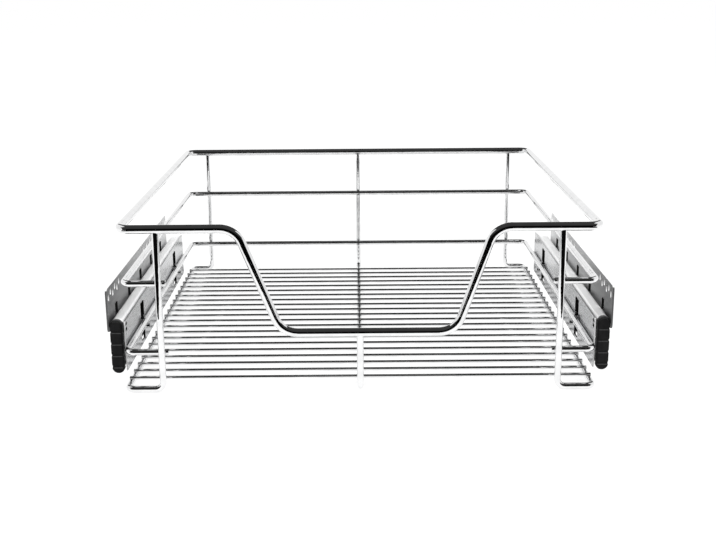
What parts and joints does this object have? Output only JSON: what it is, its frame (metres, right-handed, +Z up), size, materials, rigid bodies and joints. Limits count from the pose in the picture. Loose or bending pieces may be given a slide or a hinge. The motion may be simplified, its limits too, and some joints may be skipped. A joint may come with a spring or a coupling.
{
  "type": "pull out cabinet basket",
  "caption": "Chromed wire basket with a dipped front handle on two full extension telescopic runners, for storage inside a kitchen base cabinet.",
  "frame": {"origin": "bottom centre of the closed basket, on the plane that its feet stand on", "axes": "+X across the cabinet to the right as seen from the front, +Y to the back of the cabinet, so the basket pulls out along -Y, +Z up"},
  "size_m": [0.464, 0.43, 0.156],
  "materials": {
    "chrome_wire": "bright chrome plating",
    "zinc_steel": "bright zinc plated sheet, semi gloss",
    "plate_steel": "zinc plated sheet, semi gloss",
    "cage_steel": "plain stamped sheet, dark with grease",
    "ball_steel": "polished",
    "black_rubber": "matt black rubber"
  },
  "bodies": {
    "cabinet_side_fixing": {"left_mounting_plate": "plate_steel", "left_outer_rail": "zinc_steel", "left_rear_stop": "black_rubber", "right_mounting_plate": "plate_steel", "right_outer_rail": "zinc_steel", "right_rear_stop": "black_rubber"},
    "basket": {"top_rim": "chrome_wire", "upper_rail": "chrome_wire", "lower_rail": "chrome_wire", "left_side_wire": "chrome_wire", "right_side_wire": "chrome_wire", "centre_wire": "chrome_wire", "floor_wires": "chrome_wire", "left_hook_plate": "zinc_steel", "left_inner_rail": "zinc_steel", "left_end_cap": "black_rubber", "right_hook_plate": "zinc_steel", "right_inner_rail": "zinc_steel", "right_end_cap": "black_rubber"},
    "left_middle": {"left_middle_rail": "zinc_steel"},
    "left_outer_cage_set": {"left_outer_cage": "cage_steel", "left_outer_balls": "ball_steel"},
    "left_inner_cage_set": {"left_inner_cage": "cage_steel", "left_inner_balls": "ball_steel"},
    "right_middle": {"right_middle_rail": "zinc_steel"},
    "right_outer_cage_set": {"right_outer_cage": "cage_steel", "right_outer_balls": "ball_steel"},
    "right_inner_cage_set": {"right_inner_cage": "cage_steel", "right_inner_balls": "ball_steel"}
  },
  "joints": [
    {"name": "basket_slide", "type": "slide", "parent": "cabinet_side_fixing", "child": "basket", "axis": [0, -1, 0], "range_m": [0, 0.35]},
    {"name": "left_middle_slide", "type": "slide", "parent": "cabinet_side_fixing", "child": "left_middle", "axis": [0, -1, 0], "range_m": [0, 0.175]},
    {"name": "left_outer_cage_set_slide", "type": "slide", "parent": "cabinet_side_fixing", "child": "left_outer_cage_set", "axis": [0, -1, 0], "range_m": [0, 0.0875]},
    {"name": "left_inner_cage_set_slide", "type": "slide", "parent": "cabinet_side_fixing", "child": "left_inner_cage_set", "axis": [0, -1, 0], "range_m": [0, 0.2625]},
    {"name": "right_middle_slide", "type": "slide", "parent": "cabinet_side_fixing", "child": "right_middle", "axis": [0, -1, 0], "range_m": [0, 0.175]},
    {"name": "right_outer_cage_set_slide", "type": "slide", "parent": "cabinet_side_fixing", "child": "right_outer_cage_set", "axis": [0, -1, 0], "range_m": [0, 0.0875]},
    {"name": "right_inner_cage_set_slide", "type": "slide", "parent": "cabinet_side_fixing", "child": "right_inner_cage_set", "axis": [0, -1, 0], "range_m": [0, 0.2625]}
  ],
  "couplings": [
    {"joint": "left_middle_slide", "follows": "basket_slide", "ratio": 0.5},
    {"joint": "left_outer_cage_set_slide", "follows": "basket_slide", "ratio": 0.25},
    {"joint": "left_inner_cage_set_slide", "follows": "basket_slide", "ratio": 0.75},
    {"joint": "right_middle_slide", "follows": "basket_slide", "ratio": 0.5},
    {"joint": "right_outer_cage_set_slide", "follows": "basket_slide", "ratio": 0.25},
    {"joint": "right_inner_cage_set_slide", "follows": "basket_slide", "ratio": 0.75}
  ]
}
